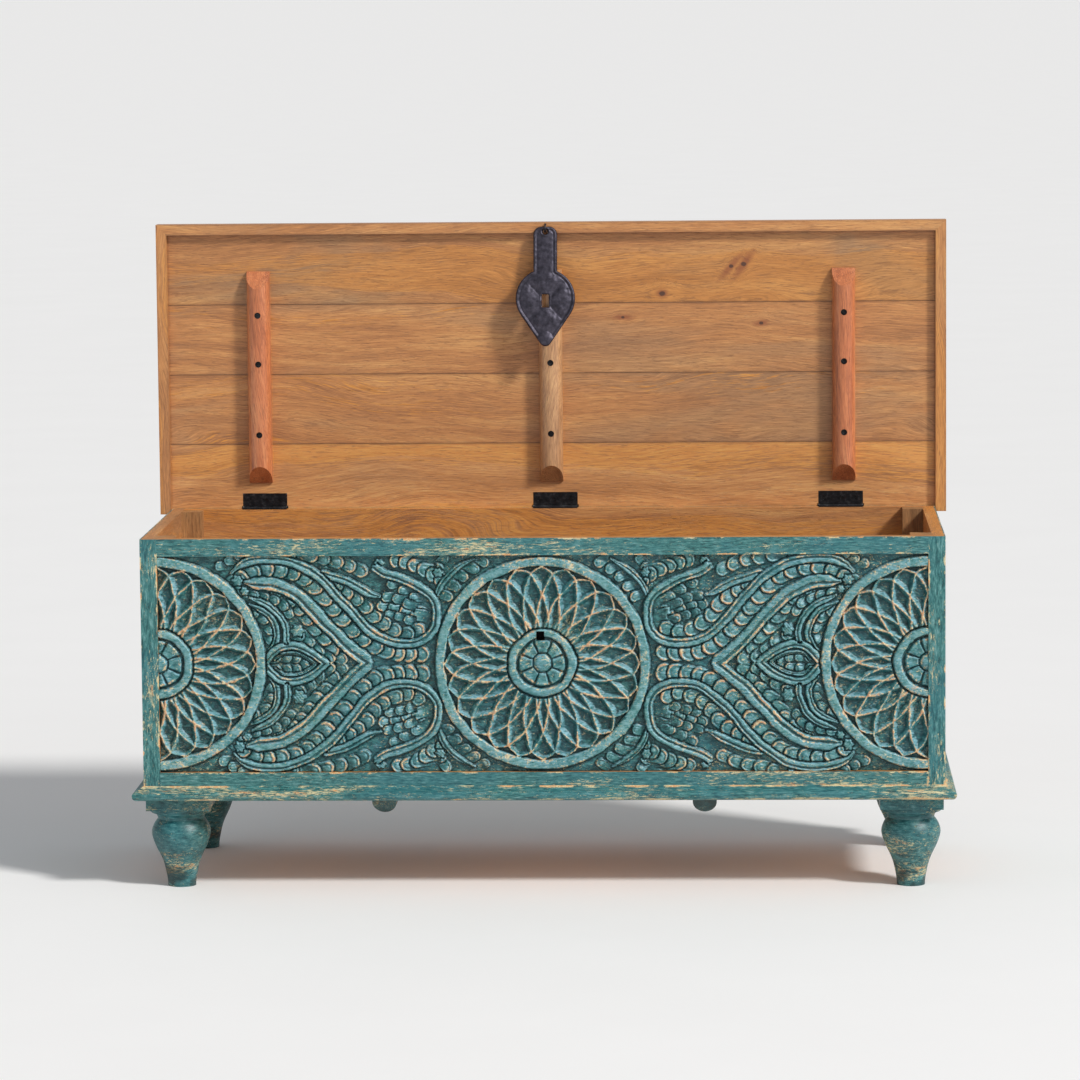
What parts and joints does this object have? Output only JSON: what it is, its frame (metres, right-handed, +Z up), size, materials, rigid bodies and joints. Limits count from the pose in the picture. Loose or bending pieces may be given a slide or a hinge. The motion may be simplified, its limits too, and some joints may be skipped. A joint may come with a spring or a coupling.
{
  "type": "storage chest",
  "caption": "Low wooden storage chest with a carved front panel, turned feet, and a hinged plank lid that stands open with an iron hasp hanging from its front edge.",
  "frame": {"origin": "on the floor under the middle of the whole chest, with the lid standing open", "axes": "+X to the right along the length of the chest, +Y to the back, +Z up; at rest the lid is open"},
  "size_m": [1.2, 0.4512, 0.9513],
  "materials": {
    "teal_painted_wood": "distressed teal paint, rubbed back to pale undercoat and bare wood on edges and carving",
    "mango_wood": "bare golden mango wood with a satin clear finish",
    "reddish_batten_wood": "redder wood, polished",
    "black_iron": "blackened iron, worn bright on the edges",
    "hasp_iron": "hand-hammered dark iron, waxed"
  },
  "bodies": {
    "chest": {"front_left_stile": "teal_painted_wood", "front_right_stile": "teal_painted_wood", "front_top_rail": "teal_painted_wood", "front_bottom_rail": "teal_painted_wood", "front_carved_panel": "teal_painted_wood", "left_board_lower": "teal_painted_wood", "left_board_middle": "teal_painted_wood", "left_board_upper": "teal_painted_wood", "right_board_lower": "teal_painted_wood", "right_board_middle": "teal_painted_wood", "right_board_upper": "teal_painted_wood", "back_board_lower": "teal_painted_wood", "back_board_middle": "teal_painted_wood", "back_board_upper": "teal_painted_wood", "post_front_left": "mango_wood", "post_front_right": "mango_wood", "post_back_left": "mango_wood", "post_back_right": "mango_wood", "floor_board_1": "mango_wood", "floor_board_2": "mango_wood", "floor_board_3": "mango_wood", "floor_board_4": "mango_wood", "base_moulding_front": "teal_painted_wood", "base_moulding_left": "teal_painted_wood", "base_moulding_right": "teal_painted_wood", "bearer_left": "teal_painted_wood", "bearer_right": "teal_painted_wood", "foot_front_left": "teal_painted_wood", "foot_front_right": "teal_painted_wood", "foot_back_left": "teal_painted_wood", "foot_back_right": "teal_painted_wood", "body_leaf_left": "black_iron", "body_leaf_centre": "black_iron", "body_leaf_right": "black_iron", "hinge_pin_left": "black_iron", "hinge_pin_centre": "black_iron", "hinge_pin_right": "black_iron", "body_hinge_screws": "black_iron"},
    "lid": {"lid_plank_1": "mango_wood", "lid_plank_2": "mango_wood", "lid_plank_3": "mango_wood", "lid_plank_4": "mango_wood", "lid_moulding_front": "mango_wood", "lid_moulding_left": "mango_wood", "lid_moulding_right": "mango_wood", "lid_batten_left": "reddish_batten_wood", "lid_batten_centre": "mango_wood", "lid_batten_right": "reddish_batten_wood", "lid_leaf_left": "black_iron", "lid_leaf_centre": "black_iron", "lid_leaf_right": "black_iron", "lid_hinge_screws": "black_iron", "batten_screws": "black_iron"},
    "hasp_ring": {"hasp_ring": "hasp_iron"},
    "hasp": {"hasp": "hasp_iron"}
  },
  "joints": [
    {"name": "lid_hinge", "type": "hinge", "parent": "chest", "child": "lid", "pos_m": [0, 0.20745, 0.5162], "axis": [1, 0, 0], "range_deg": [0, 90]},
    {"name": "hasp_swing", "type": "hinge", "parent": "lid", "child": "hasp", "pos_m": [-0.0065, 0.19465, 0.9428], "axis": [1, 0, 0], "range_deg": [-90, 0]},
    {"name": "hasp_ring_turn", "type": "hinge", "parent": "lid", "child": "hasp_ring", "pos_m": [-0.0065, 0.19465, 0.9428], "axis": [1, 0, 0], "continuous": true}
  ],
  "couplings": [
    {"joint": "hasp_swing", "follows": "lid_hinge", "ratio": -1}
  ]
}
